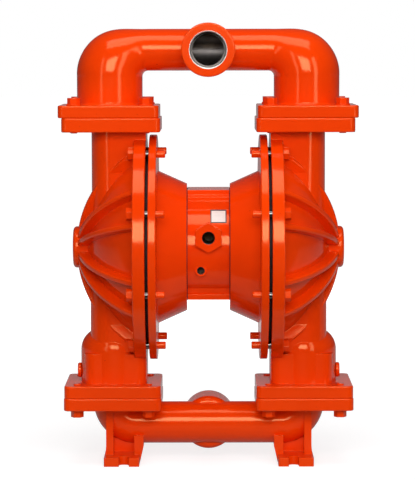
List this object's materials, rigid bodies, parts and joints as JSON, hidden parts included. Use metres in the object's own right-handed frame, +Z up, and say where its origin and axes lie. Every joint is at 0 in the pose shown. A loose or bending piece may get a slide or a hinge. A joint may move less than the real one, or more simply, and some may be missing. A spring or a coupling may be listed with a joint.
{
  "type": "air operated double diaphragm pump",
  "caption": "Air operated double diaphragm pump with ribbed fluid caps, bolted inlet and outlet manifolds, ball valves, a central air block and a rear air valve.",
  "frame": {"origin": "on the floor, under the middle of the main shaft", "axes": "+X right along the main shaft seen from the outlet port's side, -Y out of the outlet port, +Y out of the inlet port, +Z up"},
  "size_m": [0.483, 0.368, 0.7175],
  "materials": {
    "casting_enamel": "glossy orange-red enamel over rough castings",
    "fastener_enamel": "glossy orange-red enamel, worn to steel in the flange gaps",
    "label_film": "plain white adhesive film",
    "gasket_rubber": "matte black",
    "diaphragm_rubber": "matte black, fabric reinforced",
    "ball_rubber": "smooth matte black",
    "seat_steel": "turned",
    "shaft_steel": "ground and polished",
    "plate_aluminium": "turned",
    "screw_steel": "zinc plated",
    "bush_bronze": "satin",
    "valve_aluminium": "anodised"
  },
  "bodies": {
    "pump_body": {"air_chamber_left": "casting_enamel", "air_chamber_right": "casting_enamel", "air_valve_body": "casting_enamel", "air_valve_body_screws": "screw_steel", "air_valve_cap_bottom": "casting_enamel", "air_valve_cap_screws": "screw_steel", "air_valve_cap_top": "casting_enamel", "air_valve_gasket": "gasket_rubber", "air_valve_sleeve": "valve_aluminium", "block_gasket_left": "gasket_rubber", "block_gasket_right": "gasket_rubber", "center_block": "casting_enamel", "chamber_bolts_left": "fastener_enamel", "chamber_bolts_right": "fastener_enamel", "chamber_screws_left": "screw_steel", "chamber_screws_right": "screw_steel", "diaphragm_left": "diaphragm_rubber", "diaphragm_right": "diaphragm_rubber", "drain_plug_left": "fastener_enamel", "drain_plug_right": "fastener_enamel", "fluid_cap_left": "casting_enamel", "fluid_cap_right": "casting_enamel", "inlet_bolts_left": "fastener_enamel", "inlet_bolts_right": "fastener_enamel", "inlet_label": "label_film", "inlet_manifold": "casting_enamel", "inlet_seat_left": "seat_steel", "inlet_seat_oring_left": "gasket_rubber", "inlet_seat_oring_right": "gasket_rubber", "inlet_seat_right": "seat_steel", "inlet_washers_left": "fastener_enamel", "inlet_washers_right": "fastener_enamel", "outlet_bolts_left": "fastener_enamel", "outlet_bolts_right": "fastener_enamel", "outlet_manifold": "casting_enamel", "outlet_seat_left": "seat_steel", "outlet_seat_oring_left": "gasket_rubber", "outlet_seat_oring_right": "gasket_rubber", "outlet_seat_right": "seat_steel", "outlet_washers_left": "fastener_enamel", "outlet_washers_right": "fastener_enamel", "pilot_sleeve": "bush_bronze", "shaft_bushing_left": "bush_bronze", "shaft_bushing_right": "bush_bronze", "shaft_seal_left": "gasket_rubber", "shaft_seal_right": "gasket_rubber"},
    "shaft_assembly": {"main_shaft": "shaft_steel", "inner_plate_left": "plate_aluminium", "inner_plate_right": "plate_aluminium", "outer_plate_left": "plate_aluminium", "outer_plate_right": "plate_aluminium"},
    "inlet_ball_left_body": {"inlet_ball_left": "ball_rubber"},
    "inlet_ball_right_body": {"inlet_ball_right": "ball_rubber"},
    "outlet_ball_left_body": {"outlet_ball_left": "ball_rubber"},
    "outlet_ball_right_body": {"outlet_ball_right": "ball_rubber"},
    "valve_spool": {"air_valve_spool": "valve_aluminium"},
    "pilot": {"pilot_rod": "shaft_steel"}
  },
  "joints": [
    {"name": "shaft_stroke", "type": "slide", "parent": "pump_body", "child": "shaft_assembly", "axis": [1, 0, 0], "range_m": [-0.024, 0.024], "deforming": ["diaphragm_left", "diaphragm_right"]},
    {"name": "inlet_ball_left_lift", "type": "slide", "parent": "pump_body", "child": "inlet_ball_left_body", "axis": [0, 0, 1], "range_m": [0, 0.015]},
    {"name": "inlet_ball_right_lift", "type": "slide", "parent": "pump_body", "child": "inlet_ball_right_body", "axis": [0, 0, 1], "range_m": [0, 0.015]},
    {"name": "outlet_ball_left_lift", "type": "slide", "parent": "pump_body", "child": "outlet_ball_left_body", "axis": [0, 0, 1], "range_m": [0, 0.015]},
    {"name": "outlet_ball_right_lift", "type": "slide", "parent": "pump_body", "child": "outlet_ball_right_body", "axis": [0, 0, 1], "range_m": [0, 0.015]},
    {"name": "valve_spool_shift", "type": "slide", "parent": "pump_body", "child": "valve_spool", "axis": [0, 0, 1], "range_m": [0, 0.016]},
    {"name": "pilot_shift", "type": "slide", "parent": "pump_body", "child": "pilot", "axis": [1, 0, 0], "range_m": [-0.005, 0.005]}
  ]
}
